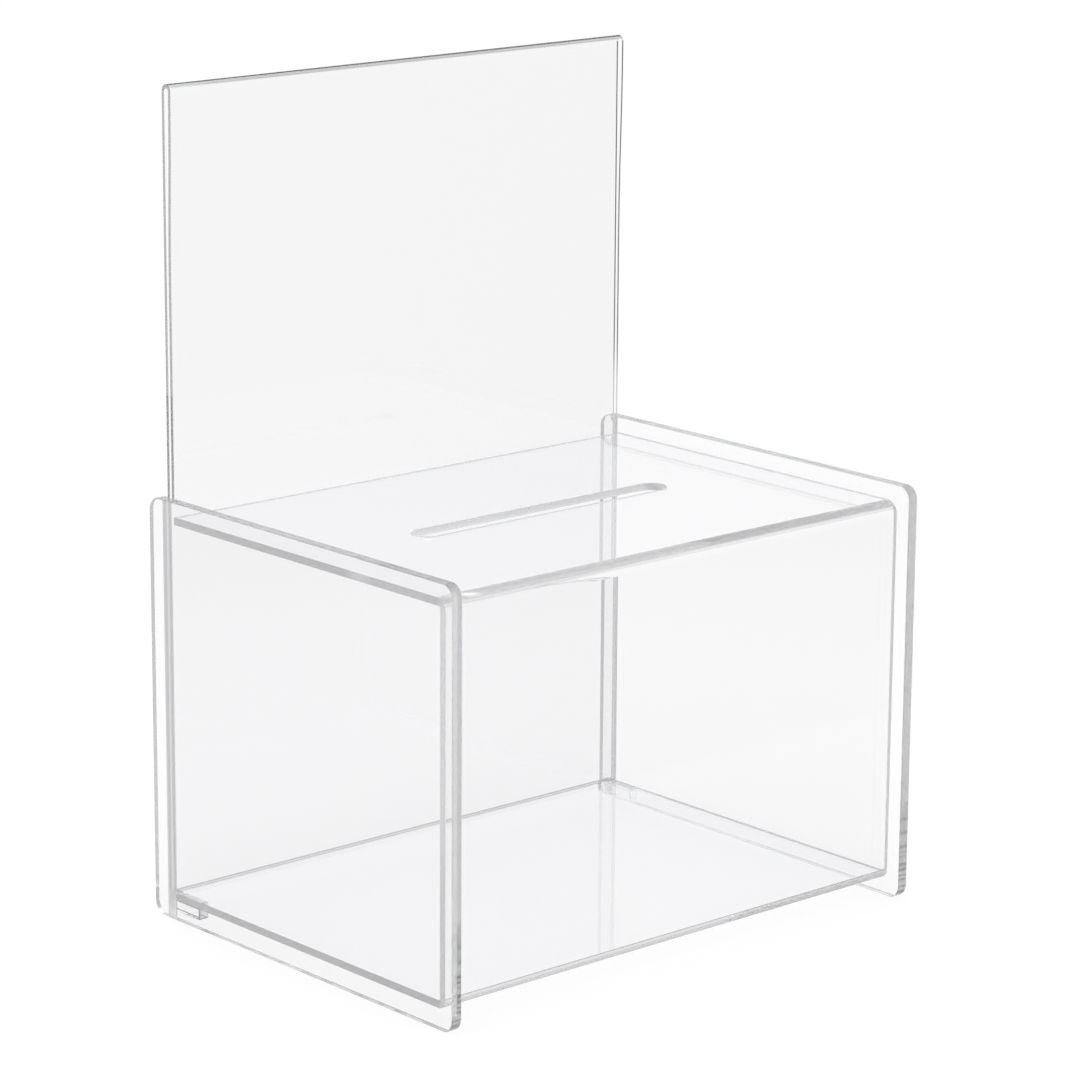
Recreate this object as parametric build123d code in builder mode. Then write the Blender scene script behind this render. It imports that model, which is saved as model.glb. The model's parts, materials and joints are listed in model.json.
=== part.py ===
"""Clear acrylic ballot box: two side plates, one bent body, and a folded sign that is also its back."""
from build123d import *
import os

# Millimetres. +Z is up, -Y is the front, and the origin is the middle of the footprint on the table.

# Side plates, which the box stands on
inner_width = 300
plate_thickness = 6
plate_depth = 236
plate_height = 221
plate_corner_radius = 7
plate_edge_break = 0.4

# Bent body: the top, the front and the floor are one sheet between the plates
body_sheet = 4
front_setback = 8.5
top_setback = 8.5
floor_lift = 9.5
floor_rear_setback = 7.5
top_bend_outside_radius = 7
floor_bend_outside_radius = 5
bend_inside_radius = 1
body_edge_break = 0.3

# Slot that the papers are posted through
slot_length = 168
slot_width = 16

# Folded panel: the sign holder above the box, and the back wall inside it
panel_sheet = 2
poster_gap = 1.5
fold_gap = 3.1
fold_blend_height = 105
sign_rise = 209
panel_edge_break = 0.1
panel_air_gap = 2.5

# Groove in each plate for the panel's edges
groove_depth = 1.5
groove_rear_setback = 8.5

# Brackets in the corners under the floor's rear end
bracket_thickness = 6
bracket_depth = 26
bracket_height = 6
bracket_edge_break = 0.3

# Clearances
glue_line = 0.05
panel_side_clearance = 0.5
panel_face_clearance = 0.5
panel_seat_clearance = 0.2

# Places worked out from the sizes
half_width = inner_width / 2
plate_front = -plate_depth / 2
plate_rear = plate_depth / 2

panel_thickness = 2 * panel_sheet + poster_gap
groove_rear = plate_rear - groove_rear_setback
groove_front = groove_rear - panel_thickness - 2 * panel_face_clearance
panel_rear = groove_rear - panel_face_clearance
panel_front = panel_rear - panel_thickness
panel_top = plate_height + sign_rise

body_front = plate_front + front_setback
top_rear = panel_front - panel_air_gap
body_top = plate_height - top_setback
floor_rear = plate_rear - floor_rear_setback
floor_top = floor_lift + body_sheet
body_half_width = half_width - glue_line
slot_centre = (body_front + top_rear) / 2

bracket_outer = half_width - glue_line
bracket_middle = (
    -bracket_outer + bracket_thickness / 2,
    floor_rear - bracket_depth / 2,
    floor_lift - glue_line - bracket_height / 2,
)
panel_low = floor_top + panel_seat_clearance
panel_half_width = half_width + groove_depth - panel_side_clearance


# Side plates: rounded rectangles with a groove down the inner face, open at both ends
with BuildPart() as side_plate_left:
    with BuildSketch(Plane.YZ.offset(-half_width)):
        with Locations((0, plate_height / 2)):
            RectangleRounded(plate_depth, plate_height, plate_corner_radius)
    extrude(amount=-plate_thickness)
    chamfer(side_plate_left.faces().filter_by(Axis.X).edges(), length=plate_edge_break)
    with BuildSketch(Plane.YZ.offset(-half_width)):
        with Locations(((groove_front + groove_rear) / 2, plate_height / 2)):
            Rectangle(groove_rear - groove_front, plate_height)
    extrude(amount=-groove_depth, mode=Mode.SUBTRACT)

with BuildPart() as side_plate_right:
    mirror(side_plate_left.part, about=Plane.YZ)


# Bent body: its two lines run forward over the top, down the front and back under the floor.
# The sheet is drawn thinner round the bends.
with BuildPart() as bent_body:
    with BuildSketch(Plane.YZ.offset(-body_half_width)):
        with BuildLine():
            outside_line = FilletPolyline(
                (top_rear, body_top),
                (body_front, body_top),
                (body_front, floor_lift),
                (floor_rear, floor_lift),
                radius=[top_bend_outside_radius, floor_bend_outside_radius],
            )
            inside_line = FilletPolyline(
                (top_rear, body_top - body_sheet),
                (body_front + body_sheet, body_top - body_sheet),
                (body_front + body_sheet, floor_top),
                (floor_rear, floor_top),
                radius=[bend_inside_radius, bend_inside_radius],
            )
            Line(outside_line @ 0, inside_line @ 0)
            Line(outside_line @ 1, inside_line @ 1)
        make_face()
    extrude(amount=2 * body_half_width)
    rear_ends = bent_body.faces().filter_by(Axis.Y).sort_by(Axis.Y)[-2:]
    chamfer(rear_ends.edges().filter_by(Axis.X), length=body_edge_break)
    with BuildSketch(Plane.XY.offset(body_top)):
        with Locations((0, slot_centre)):
            SlotOverall(slot_length, slot_width)
    extrude(amount=-body_sheet, mode=Mode.SUBTRACT)
    slot_rims = bent_body.edges(Select.LAST).filter_by(Axis.Z, reverse=True)
    chamfer(slot_rims, length=body_edge_break)


# Folded panel: flat behind, folded over at the top, and eased back to the poster gap in front
fold_outside_radius = fold_gap / 2 + panel_sheet
fold_spring = panel_top - fold_outside_radius
fold_front = panel_rear - 2 * fold_outside_radius
blend_low = panel_top - fold_blend_height
blend_middle = ((fold_front + panel_front) / 2, (fold_spring + blend_low) / 2)

with BuildPart() as sign_panel:
    with BuildSketch(Plane.YZ.offset(-panel_half_width)):
        with BuildLine():
            rear_line = Line((panel_rear, panel_low), (panel_rear, fold_spring))
            fold_line = TangentArc(rear_line @ 1, (fold_front, fold_spring), tangent=rear_line % 1)
            bulge_line = TangentArc(fold_line @ 1, blend_middle, tangent=fold_line % 1)
            ease_line = TangentArc(bulge_line @ 1, (panel_front, blend_low), tangent=bulge_line % 1)
            Line(ease_line @ 1, (panel_front, panel_low))
            offset(amount=panel_sheet, side=Side.LEFT)
        make_face()
    extrude(amount=2 * panel_half_width)
    chamfer(sign_panel.faces().filter_by(Axis.X).edges(), length=panel_edge_break)


# Brackets: short bars of the plates' own stock
with BuildPart() as rear_bracket_left:
    with Locations(bracket_middle):
        Box(bracket_thickness, bracket_depth, bracket_height)
    chamfer(rear_bracket_left.edges(), length=bracket_edge_break)

with BuildPart() as rear_bracket_right:
    mirror(rear_bracket_left.part, about=Plane.YZ)


pieces = {
    "side_plate_left": side_plate_left,
    "side_plate_right": side_plate_right,
    "bent_body": bent_body,
    "sign_panel": sign_panel,
    "rear_bracket_left": rear_bracket_left,
    "rear_bracket_right": rear_bracket_right,
}
os.makedirs("parts", exist_ok=True)
for name, piece in pieces.items():
    piece.part.label = name
    export_step(piece.part, f"parts/{name}.step")
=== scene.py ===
"""Clear acrylic ballot box on a white table, in soft studio light."""
from collections import namedtuple
import json
import math

import bpy
from mathutils import Matrix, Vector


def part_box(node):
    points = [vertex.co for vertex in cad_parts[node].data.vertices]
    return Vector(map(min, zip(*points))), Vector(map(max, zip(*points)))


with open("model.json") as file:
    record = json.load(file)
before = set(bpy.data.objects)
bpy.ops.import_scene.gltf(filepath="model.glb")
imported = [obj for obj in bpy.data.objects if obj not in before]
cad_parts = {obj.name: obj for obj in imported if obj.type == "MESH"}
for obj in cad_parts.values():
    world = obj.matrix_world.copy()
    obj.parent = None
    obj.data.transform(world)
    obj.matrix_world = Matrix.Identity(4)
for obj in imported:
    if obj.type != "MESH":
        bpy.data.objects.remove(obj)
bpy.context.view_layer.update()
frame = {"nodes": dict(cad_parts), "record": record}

# Lengths and places are in metres, except where a name says otherwise.
# A tone is a grey level, where 1 is white.
WHITE = (1, 1, 1)

# Camera: the photograph's viewing place, direction and field of view
PHOTO_PIXELS = 1066
FOCAL_PIXELS = 4238.3
SENSOR_MM = 36.0
CAMERA_PLACE = (-1.3881, -1.5637, 0.7211)
CAMERA_YAW = 0.72529
CAMERA_PITCH = 0.24469
CAMERA_ROLL = 0.00628
NEAREST_SEEN = 0.05
FARTHEST_SEEN = 50.0

# Table: white where it is seen. Where it is mirrored it glows grey as a painted reflection, lighter on one
# side and dark far out.
# The lamp's light and the box's shadow fade away across its reach.
FLOOR_HALF = 6.0
FLOOR_DROP = 0.0004
GLOW_SHARE = 0.84
TABLE_REACH = (0.45, 1.0)
TABLE_PAINTED_REFLECTION_TONES = (0.52, 0.66)
TABLE_PAINTED_LIGHT_SIDE = (-0.66, 0.75, 0.0)
TABLE_TURN = (-0.5, 0.6)
TABLE_END = (1.08, 1.30)
TABLE_PAINTED_DARK_FAR_TONE = 0.10

# Studio: a backdrop behind the box, a room in front of it, and a ceiling, all white where they are seen.
BACKDROP_TONE = (0.985, 0.985, 1.0)
ROOM_TONE = (0.63, 0.63, 0.645)
CEILING_TONE = (0.75, 0.75, 0.765)
BACKDROP_TURN = (-0.1, 0.4)
CEILING_TURN = (0.45, 0.75)

# Surroundings that show in light which ran along inside a sheet, told by how often it was mirrored
INNER_TRIPS = (4, 10)
EDGE_TONE = 0.96
# Near the box the floor shows a lower tone in such light, a painted shade that eases out across
# LOW_EDGE_REACH
LOW_EDGE_TONE = 0.92
LOW_EDGE_REACH = (0.20, 0.75)

# Light paths: the most bounces of a ray, and the most clear surfaces that it passes straight through
MOST_BOUNCES = 160
MOST_CROSSINGS = 64

# Lamp
LAMP_SIZE = 2.4
LAMP_ENERGY = 34.0
LAMP_PLACE = (0.0, 0.2, 2.2)

# Acrylic: its faces' tint, the tint of its depth, and the light that a straight way through it loses
ACRYLIC_IOR = 1.49
FACE_TINT = (0.996, 0.996, 0.9995)
TINT = (0.930, 0.930, 0.931)
TINT_DENSITY = 10.0
HEAD_ON_LOSS_SHARE = 0.04
GRAZING_POWER = 5.0

# Sizes of a face's direction along an axis, above which it looks squarely that way, or leans that way
SQUARE = 0.9
LEANING = 0.5

# Sizes that the finishes and their painted shade go by, and a distance small enough to tell one face from
# the next
BODY_SHEET = 0.004
BEND_REACH = 0.007
SLOT_LENGTH = 0.168
SLOT_WIDTH = 0.016
SLOT_MARGIN = 0.0005
FOLD_CROWN_REACH = 0.0017
FOOT_REACH = 0.0004
HAIR = 0.00005

# Places on the pieces, read from the frame
plate_low, plate_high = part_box("side_plate_right")
body_low, body_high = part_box("bent_body")
panel_low, panel_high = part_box("sign_panel")
openings = {opening["name"]: opening["box_m"] for opening in frame["record"]["physics"]["openings"]}
slot_low, slot_high = openings["posting_slot"]
slot_centre = (slot_low[1] + slot_high[1]) / 2
plate_middle = (plate_low.x + plate_high.x) / 2
body_middle = (body_low.z + body_high.z) / 2
panel_middle = (panel_low.z + panel_high.z) / 2
floor_sheet_top = body_low.z + BODY_SHEET
top_sheet_low = body_high.z - BODY_SHEET

# Finishes of the cut edges and bends: roughness and frost, and a tone which, below 1, is painted shade on
# the colourless acrylic. A pattern may give the tone.
FinishAndPaintedShade = namedtuple("FinishAndPaintedShade", "roughness tone frost_share")
PATTERN = None
PLATE_EDGE = FinishAndPaintedShade(0.15, 0.59, 0.0)
# Lighter painted shade for the left plate's front edge
LIGHT_PAINTED_SHADE_EDGE = FinishAndPaintedShade(0.15, 0.86, 0.0)
PLATE_REAR = FinishAndPaintedShade(0.12, 1.0, 0.0)
PLATE_FOOT = FinishAndPaintedShade(0.25, PATTERN, 0.45)
GROOVE = FinishAndPaintedShade(0.50, 0.90, 0.55)
BODY_END = FinishAndPaintedShade(0.26, 0.72, 0.25)
FRONT_END = FinishAndPaintedShade(0.26, 1.0, 0.25)
TOP_REAR_END = FinishAndPaintedShade(0.20, 0.90, 0.0)
FLOOR_REAR_END = FinishAndPaintedShade(0.05, 1.0, 0.0)
TOP_BEND = FinishAndPaintedShade(0.12, 0.76, 0.0)
LOW_BEND = FinishAndPaintedShade(0.06, PATTERN, 0.0)
LOW_BEND_TONES = (0.72, 1.0)
SLOT_WALL = FinishAndPaintedShade(0.25, 1.0, 0.0)
BRACKET_END = FinishAndPaintedShade(0.20, 0.85, 0.10)
BRACKET_RIM = FinishAndPaintedShade(0.30, 0.25, 0.60)
CLEAR_END = FinishAndPaintedShade(0.05, 1.0, 0.0)
CLEAR_RIM = FinishAndPaintedShade(0.30, 0.95, 0.0)
PANEL_END = FinishAndPaintedShade(0.05, 0.72, 0.0)
PANEL_FOOT = FinishAndPaintedShade(0.40, 0.50, 0.85)
FOLD_CROWN = FinishAndPaintedShade(0.10, 0.66, 0.0)

# Painted contact shade along the plates' feet, broken up by noise
FOOT_SHADE_SCALE = (40.0, 75.0, 0.0)
FOOT_SHADE_TURN = (0.36, 0.60)
FOOT_SHADE_TONES = (0.18, 0.80)
LIGHT_FOOT_SHADE_TONES = (0.86, 1.0)

# Darker painted shade low on the plates' front edges, in bars of noise
BAR_SCALE = (0.0, 0.0, 400.0)
BAR_TURN = (0.42, 0.53)
BAR_TONES = (0.18, 0.52)
BAR_REACH = 0.054

# Saw and buffing marks along the cut edges, and the slow waves of the plates' faces
MARK_SCALE = (620.0, 14.0, 14.0)
MARK_DETAIL = 3.0
MARK_DEPTH = 0.00022
WAVE_SCALE = (14.0, 14.0, 14.0)
WAVE_DEPTH = 0.00006

# What a finish and its painted shade go by at a point: how far the face looks sideways, to the front or
# back, and up or down, the distance from the middle plane, the place along Y, and the height
Surface = namedtuple("Surface", "side front up across along height")


def new_material(name):
    """An empty node material and its tree."""
    material = bpy.data.materials.new(name)
    material.use_nodes = True
    tree = material.node_tree
    tree.nodes.clear()
    return material, tree


def add(tree, kind, **settings):
    """A new node with its settings."""
    node = tree.nodes.new(kind)
    for key, value in settings.items():
        setattr(node, key, value)
    return node


def feed(tree, value, socket):
    """Give a socket a plain number, or another node's value."""
    if isinstance(value, (int, float)):
        socket.default_value = value
    else:
        tree.links.new(value, socket)


def math_node(tree, operation, first, second=0.0):
    """The result of a calculation with one or two values."""
    node = add(tree, "ShaderNodeMath", operation=operation)
    feed(tree, first, node.inputs[0])
    feed(tree, second, node.inputs[1])
    return node.outputs[0]


def above(tree, value, limit):
    """1 where the value is above the limit, and 0 elsewhere."""
    return math_node(tree, "GREATER_THAN", value, limit)


def below(tree, value, limit):
    """1 where the value is below the limit, and 0 elsewhere."""
    return math_node(tree, "LESS_THAN", value, limit)


def all_of(tree, *masks):
    """1 where every mask is 1, and 0 elsewhere."""
    result = masks[0]
    for mask in masks[1:]:
        result = math_node(tree, "MULTIPLY", result, mask)
    return result


def ramp(tree, value, turn, tones=(0.0, 1.0)):
    """A value that eases from the first tone to the second while the given one crosses the turn."""
    node = add(tree, "ShaderNodeMapRange", interpolation_type="SMOOTHSTEP")
    for name, number in zip(("From Min", "From Max", "To Min", "To Max"), (*turn, *tones)):
        node.inputs[name].default_value = number
    tree.links.new(value, node.inputs["Value"])
    return node.outputs[0]


def blend_value(tree, factor, first, second):
    """The first value where the factor is 0, and the second where it is 1."""
    node = add(tree, "ShaderNodeMix", data_type="FLOAT")
    feed(tree, factor, node.inputs["Factor"])
    feed(tree, first, node.inputs["A"])
    feed(tree, second, node.inputs["B"])
    return node.outputs["Result"]


def mix(tree, factor, first, second):
    """The first shader where the factor is 0, and the second where it is 1."""
    node = add(tree, "ShaderNodeMixShader")
    feed(tree, factor, node.inputs[0])
    tree.links.new(first, node.inputs[1])
    tree.links.new(second, node.inputs[2])
    return node.outputs[0]


def flat_light(tree, kind, tone):
    """A shader of one colour."""
    node = add(tree, kind)
    node.inputs["Color"].default_value = (*tone, 1)
    return node.outputs[0]


def toned_light(tree, kind, tone):
    """A shader with the tone that a node gives."""
    node = add(tree, kind)
    tree.links.new(tone, node.inputs["Color"])
    return node.outputs[0]


def sight_rays(tree):
    """1 for rays that show the background, directly or straight through the acrylic, with no mirroring."""
    path = add(tree, "ShaderNodeLightPath")
    seen = math_node(tree, "MAXIMUM", path.outputs["Is Camera Ray"], path.outputs["Is Transmission Ray"])
    straight = below(tree, path.outputs["Glossy Depth"], 1)
    return math_node(tree, "MULTIPLY", seen, straight)


def inner_trips(tree):
    """0 for rays with few mirrorings, 1 for rays that ran along inside a sheet by many of them."""
    path = add(tree, "ShaderNodeLightPath")
    return ramp(tree, path.outputs["Glossy Depth"], INNER_TRIPS)


def own_place(tree):
    """The place in the piece's own coordinates, which ride along when its body moves."""
    return add(tree, "ShaderNodeTexCoord").outputs["Object"]


def read_surface(tree):
    """The face's direction, which is the same seen from either side, and its place as it is at rest."""
    geometry = add(tree, "ShaderNodeNewGeometry")
    direction = add(tree, "ShaderNodeSeparateXYZ")
    tree.links.new(geometry.outputs["True Normal"], direction.inputs[0])
    place = add(tree, "ShaderNodeSeparateXYZ")
    tree.links.new(own_place(tree), place.inputs[0])
    return Surface(
        side=math_node(tree, "ABSOLUTE", direction.outputs["X"]),
        front=math_node(tree, "ABSOLUTE", direction.outputs["Y"]),
        up=math_node(tree, "ABSOLUTE", direction.outputs["Z"]),
        across=math_node(tree, "ABSOLUTE", place.outputs["X"]),
        along=place.outputs["Y"],
        height=place.outputs["Z"],
    )


def stretched_noise(tree, scale, detail=0.0):
    """Noise over the surface's place, stretched by a scale of its own along each axis."""
    stretch = add(tree, "ShaderNodeVectorMath", operation="MULTIPLY")
    stretch.inputs[1].default_value = scale
    tree.links.new(own_place(tree), stretch.inputs[0])
    noise = add(tree, "ShaderNodeTexNoise")
    noise.inputs["Scale"].default_value = 1
    noise.inputs["Detail"].default_value = detail
    tree.links.new(stretch.outputs["Vector"], noise.inputs["Vector"])
    return noise.outputs["Fac"]


def plate_edges(tree, surface, foot_shade_tones):
    """Edges, rear, foot and groove of a plate, with painted shade on the edges, the foot and the groove,
    darker in bars low on its front.
    """
    cut = below(tree, surface.side, SQUARE)
    front_half = below(tree, surface.along, 0)
    rear_half = above(tree, surface.along, 0)
    low_front = all_of(tree, cut, front_half, below(tree, surface.height, BAR_REACH))
    foot = all_of(tree, above(tree, surface.up, SQUARE), below(tree, surface.height, FOOT_REACH))
    groove_floor = all_of(
        tree,
        above(tree, surface.across, plate_low.x + HAIR),
        below(tree, surface.across, plate_middle),
        above(tree, surface.side, SQUARE),
    )
    # Darker painted shade in bars low on the front edge
    bars = ramp(tree, stretched_noise(tree, BAR_SCALE), BAR_TURN, BAR_TONES)
    # Painted contact shade on the foot, in a noise pattern
    foot_shade = ramp(tree, stretched_noise(tree, FOOT_SHADE_SCALE), FOOT_SHADE_TURN, foot_shade_tones)
    return (
        (cut, PLATE_EDGE),
        (low_front, PLATE_EDGE._replace(tone=bars)),
        (all_of(tree, above(tree, surface.front, LEANING), rear_half), PLATE_REAR),
        (foot, PLATE_FOOT._replace(tone=foot_shade)),
        (groove_floor, GROOVE),
    )


def left_plate_edges(tree, surface):
    """The left plate's front edge has lighter painted shade along its outer half, down to the floor sheet.
    """
    outer = all_of(
        tree,
        below(tree, surface.side, SQUARE),
        below(tree, surface.along, 0),
        above(tree, surface.across, plate_middle),
        below(tree, surface.up, LEANING),
        above(tree, surface.height, body_low.z),
    )
    return (*plate_edges(tree, surface, FOOT_SHADE_TONES), (outer, LIGHT_PAINTED_SHADE_EDGE))


def right_plate_edges(tree, surface):
    """The right plate's foot has lighter painted contact shade than the left one's."""
    return plate_edges(tree, surface, LIGHT_FOOT_SHADE_TONES)


def bracket_edges(tree, surface, end=BRACKET_END, rim=BRACKET_RIM):
    """Cut ends of a bracket, and its broken edges, with the painted shade of their finishes."""
    at_rim = all_of(
        tree,
        below(tree, surface.side, SQUARE),
        below(tree, surface.front, SQUARE),
        below(tree, surface.up, SQUARE),
    )
    return ((above(tree, surface.front, SQUARE), end), (at_rim, rim))


def right_bracket_edges(tree, surface):
    """The right bracket is polished clear, with almost no painted shade, and hardly shows."""
    return bracket_edges(tree, surface, CLEAR_END, CLEAR_RIM)


def panel_edges(tree, surface):
    """Side ends and foot of the panel, and the crown of its fold, each with painted shade."""
    foot = all_of(tree, above(tree, surface.up, SQUARE), below(tree, surface.height, panel_middle))
    at_crown = above(tree, surface.height, panel_high.z - FOLD_CROWN_REACH)
    crown = all_of(tree, below(tree, surface.side, LEANING), at_crown)
    return ((above(tree, surface.side, LEANING), PANEL_END), (foot, PANEL_FOOT), (crown, FOLD_CROWN))


def body_edges(tree, surface):
    """Bends, slot wall, side ends and rear ends of the body, with painted shade on the bends, the side
    ends and the top sheet's rear end.
    """
    at_bend = all_of(
        tree,
        below(tree, surface.along, body_low.y + BEND_REACH),
        below(tree, surface.side, SQUARE),
    )
    top_bend = all_of(tree, at_bend, above(tree, surface.height, top_sheet_low))
    low_bend = all_of(tree, at_bend, below(tree, surface.height, floor_sheet_top))
    # Painted shade on the low bend, darker towards its bottom
    low_bend_tone = ramp(tree, surface.height, (body_low.z, floor_sheet_top), LOW_BEND_TONES)
    from_slot = math_node(tree, "ABSOLUTE", math_node(tree, "SUBTRACT", surface.along, slot_centre))
    slot_wall = all_of(
        tree,
        below(tree, surface.across, SLOT_LENGTH / 2 + SLOT_MARGIN),
        below(tree, from_slot, SLOT_WIDTH / 2 + SLOT_MARGIN),
        above(tree, surface.height, top_sheet_low + HAIR),
        below(tree, surface.up, SQUARE),
    )
    at_end = above(tree, surface.across, body_high.x - HAIR)
    front_end = all_of(tree, at_end, below(tree, surface.along, body_low.y + BODY_SHEET))
    at_rear = all_of(
        tree,
        above(tree, surface.along, body_high.y / 2),
        above(tree, surface.front, LEANING),
    )
    return (
        (top_bend, TOP_BEND),
        (low_bend, LOW_BEND._replace(tone=low_bend_tone)),
        (slot_wall, SLOT_WALL),
        (at_end, BODY_END),
        (front_end, FRONT_END),
        (all_of(tree, at_rear, above(tree, surface.height, body_middle)), TOP_REAR_END),
        (all_of(tree, at_rear, below(tree, surface.height, body_middle)), FLOOR_REAR_END),
    )


def finish_and_painted_shade_values(tree, finishes_and_shades):
    """Roughness, colour and clearness: smooth tinted faces, and the finishes with their painted shade
    inside their masks.
    """
    roughness = 0.0
    tone = 1.0
    clearness = 1.0
    for mask, finish_and_shade in finishes_and_shades:
        roughness = blend_value(tree, mask, roughness, finish_and_shade.roughness)
        tone = blend_value(tree, mask, tone, finish_and_shade.tone)
        clearness = blend_value(tree, mask, clearness, 1 - finish_and_shade.frost_share)
    # Each tone scales the face tint, so a tone below 1 is painted shade
    colour = add(tree, "ShaderNodeVectorMath", operation="SCALE")
    colour.inputs[0].default_value = FACE_TINT
    tree.links.new(tone, colour.inputs["Scale"])
    return roughness, colour.outputs[0], clearness


def relief(tree, surface):
    """Fine marks along the cut edges, and slow waves on the faces."""
    edge = all_of(tree, below(tree, surface.side, LEANING), above(tree, surface.height, FOOT_REACH))
    marks = math_node(tree, "MULTIPLY", stretched_noise(tree, MARK_SCALE, MARK_DETAIL), MARK_DEPTH)
    waves = math_node(tree, "MULTIPLY", stretched_noise(tree, WAVE_SCALE), WAVE_DEPTH)
    bump = add(tree, "ShaderNodeBump")
    bump.inputs["Distance"].default_value = 1
    tree.links.new(blend_value(tree, edge, waves, marks), bump.inputs["Height"])
    return bump.outputs["Normal"]


def acrylic(name, edges, has_marks):
    """Colourless acrylic, with painted shade on its edges and bends. Lamp light and light on its way to
    the floor pass straight through it.
    """
    material, tree = new_material(name)
    link = tree.links.new
    output = add(tree, "ShaderNodeOutputMaterial")
    surface = read_surface(tree)
    roughness, colour, clearness = finish_and_painted_shade_values(tree, edges(tree, surface))
    clear = add(tree, "ShaderNodeBsdfPrincipled")
    clear.inputs["IOR"].default_value = ACRYLIC_IOR
    link(roughness, clear.inputs["Roughness"])
    link(colour, clear.inputs["Base Color"])
    link(clearness, clear.inputs["Transmission Weight"])
    if has_marks:
        link(relief(tree, surface), clear.inputs["Normal"])

    facing = add(tree, "ShaderNodeLayerWeight")
    grazing = math_node(tree, "POWER", facing.outputs["Facing"], GRAZING_POWER)
    passed = math_node(tree, "MULTIPLY", math_node(tree, "SUBTRACT", 1, grazing), 1 - HEAD_ON_LOSS_SHARE)
    window = toned_light(tree, "ShaderNodeBsdfTransparent", passed)
    path = add(tree, "ShaderNodeLightPath")
    straight = math_node(tree, "MAXIMUM", path.outputs["Is Shadow Ray"], path.outputs["Is Diffuse Ray"])
    link(mix(tree, straight, clear.outputs[0], window), output.inputs["Surface"])

    absorb = add(tree, "ShaderNodeVolumeAbsorption")
    absorb.inputs["Color"].default_value = (*TINT, 1)
    absorb.inputs["Density"].default_value = TINT_DENSITY
    link(absorb.outputs[0], output.inputs["Volume"])
    return material


def dress(node, material):
    """Give a piece its material."""
    slots = frame["nodes"][node].data.materials
    slots.clear()
    slots.append(material)


def floor_material():
    """White where it is seen, with the box's shadow, and a grey table where it is mirrored, which is a
    painted reflection.
    """
    material, tree = new_material("white_floor")
    link = tree.links.new
    output = add(tree, "ShaderNodeOutputMaterial")
    geometry = add(tree, "ShaderNodeNewGeometry")
    distance = add(tree, "ShaderNodeVectorMath", operation="LENGTH")
    link(geometry.outputs["Position"], distance.inputs[0])
    far = ramp(tree, distance.outputs["Value"], TABLE_REACH)

    paint = flat_light(tree, "ShaderNodeBsdfDiffuse", WHITE)
    white = flat_light(tree, "ShaderNodeEmission", WHITE)
    seen = mix(tree, far, mix(tree, GLOW_SHARE, paint, white), white)

    # Painted reflection: the mirrored table is lighter on one side and dark far out
    side = add(tree, "ShaderNodeVectorMath", operation="DOT_PRODUCT")
    side.inputs[1].default_value = TABLE_PAINTED_LIGHT_SIDE
    link(geometry.outputs["Position"], side.inputs[0])
    lighter = ramp(tree, side.outputs["Value"], TABLE_TURN, TABLE_PAINTED_REFLECTION_TONES)
    ended = ramp(tree, side.outputs["Value"], TABLE_END)
    tone = blend_value(tree, ended, lighter, TABLE_PAINTED_DARK_FAR_TONE)
    glow = toned_light(tree, "ShaderNodeEmission", tone)
    painted_table_reflection = mix(tree, GLOW_SHARE, toned_light(tree, "ShaderNodeBsdfDiffuse", tone), glow)
    painted_table_reflection = mix(tree, far, painted_table_reflection, glow)

    # Painted shade: light run along inside a sheet sees the floor darker near the box
    edge_tone = ramp(tree, distance.outputs["Value"], LOW_EDGE_REACH, (LOW_EDGE_TONE, EDGE_TONE))
    mirrored = mix(tree, inner_trips(tree), painted_table_reflection, toned_light(tree, "ShaderNodeEmission", edge_tone))
    link(mix(tree, sight_rays(tree), mirrored, seen), output.inputs["Surface"])
    return material


def make_floor():
    """One large square just under the box."""
    signs = ((-1, -1), (1, -1), (1, 1), (-1, 1))
    corners = [(x * FLOOR_HALF, y * FLOOR_HALF, -FLOOR_DROP) for x, y in signs]
    mesh = bpy.data.meshes.new("floor")
    mesh.from_pydata(corners, [], [range(len(corners))])
    mesh.materials.append(floor_material())
    floor = bpy.data.objects.new("floor", mesh)
    bpy.context.scene.collection.objects.link(floor)


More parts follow.
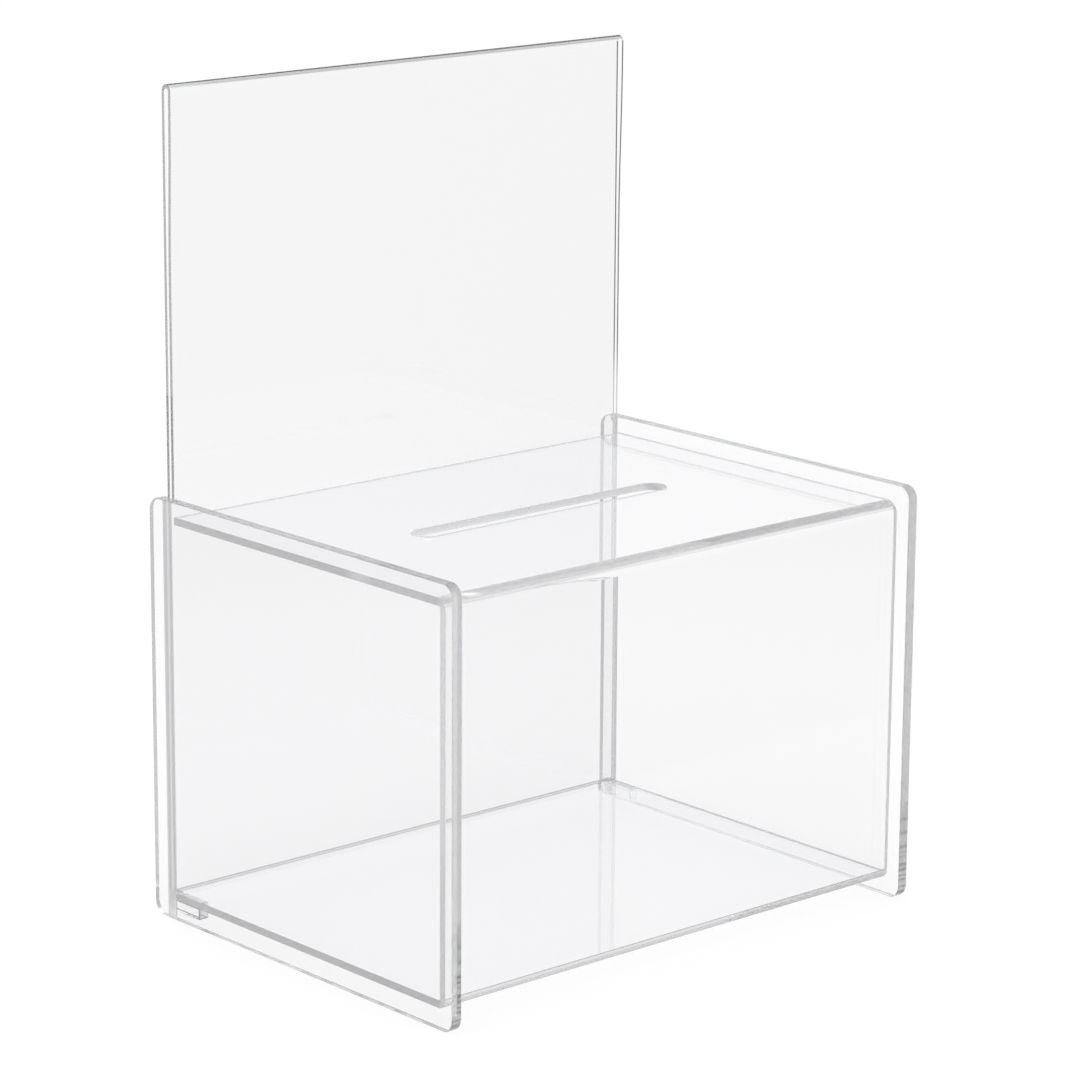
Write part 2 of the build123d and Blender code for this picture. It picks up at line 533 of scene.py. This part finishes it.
def make_world():
    """A white backdrop behind the box, a greyer room in front of it, and a ceiling."""
    world = bpy.data.worlds.new("studio")
    world.use_nodes = True
    tree = world.node_tree
    tree.nodes.clear()
    link = tree.links.new
    output = add(tree, "ShaderNodeOutputWorld")
    coordinates = add(tree, "ShaderNodeTexCoord")
    split = add(tree, "ShaderNodeSeparateXYZ")
    link(coordinates.outputs["Generated"], split.inputs[0])
    backdrop = flat_light(tree, "ShaderNodeBackground", BACKDROP_TONE)
    room = flat_light(tree, "ShaderNodeBackground", ROOM_TONE)
    ceiling = flat_light(tree, "ShaderNodeBackground", CEILING_TONE)
    walls = mix(tree, ramp(tree, split.outputs["Y"], BACKDROP_TURN), room, backdrop)
    studio = mix(tree, ramp(tree, split.outputs["Z"], CEILING_TURN), walls, ceiling)
    edge_light = flat_light(tree, "ShaderNodeBackground", [EDGE_TONE] * 3)
    mirrored = mix(tree, inner_trips(tree), studio, edge_light)
    white = flat_light(tree, "ShaderNodeBackground", WHITE)
    link(mix(tree, sight_rays(tree), mirrored, white), output.inputs["Surface"])
    bpy.context.scene.world = world


def make_lamp():
    """A large soft lamp overhead, which draws the box's shadow."""
    data = bpy.data.lights.new("overhead_softbox", "AREA")
    data.size = LAMP_SIZE
    data.energy = LAMP_ENERGY
    lamp = bpy.data.objects.new("overhead_softbox", data)
    lamp.location = LAMP_PLACE
    bpy.context.scene.collection.objects.link(lamp)


def make_camera():
    """The photograph's camera."""
    data = bpy.data.cameras.new("camera")
    data.sensor_width = SENSOR_MM
    data.lens = FOCAL_PIXELS / PHOTO_PIXELS * SENSOR_MM
    data.clip_start = NEAREST_SEEN
    data.clip_end = FARTHEST_SEEN
    yaw = Matrix.Rotation(-CAMERA_YAW, 4, "Z")
    pitch = Matrix.Rotation(math.pi / 2 - CAMERA_PITCH, 4, "X")
    roll = Matrix.Rotation(CAMERA_ROLL, 4, "Z")
    camera = bpy.data.objects.new("camera", data)
    camera.matrix_world = Matrix.Translation(CAMERA_PLACE) @ yaw @ pitch @ roll
    bpy.context.scene.collection.objects.link(camera)
    bpy.context.scene.camera = camera


def set_light_paths():
    """Light runs the length of a sheet by many inner reflections before it leaves at an edge."""
    cycles = bpy.context.scene.cycles
    cycles.max_bounces = MOST_BOUNCES
    cycles.glossy_bounces = MOST_BOUNCES
    cycles.transmission_bounces = MOST_BOUNCES
    cycles.transparent_max_bounces = MOST_CROSSINGS
    cycles.caustics_reflective = False
    cycles.caustics_refractive = False
    cycles.blur_glossy = 0


piece_edges = {
    "side_plate_left": left_plate_edges,
    "side_plate_right": right_plate_edges,
    "bent_body": body_edges,
    "sign_panel": panel_edges,
    "rear_bracket_left": bracket_edges,
    "rear_bracket_right": right_bracket_edges,
}
marked = ("side_plate_left", "side_plate_right")
for node, edges in piece_edges.items():
    dress(node, acrylic("acrylic_" + node, edges, node in marked))
make_floor()
make_world()
make_lamp()
make_camera()
set_light_paths()
bpy.context.scene.view_settings.view_transform = "Standard"
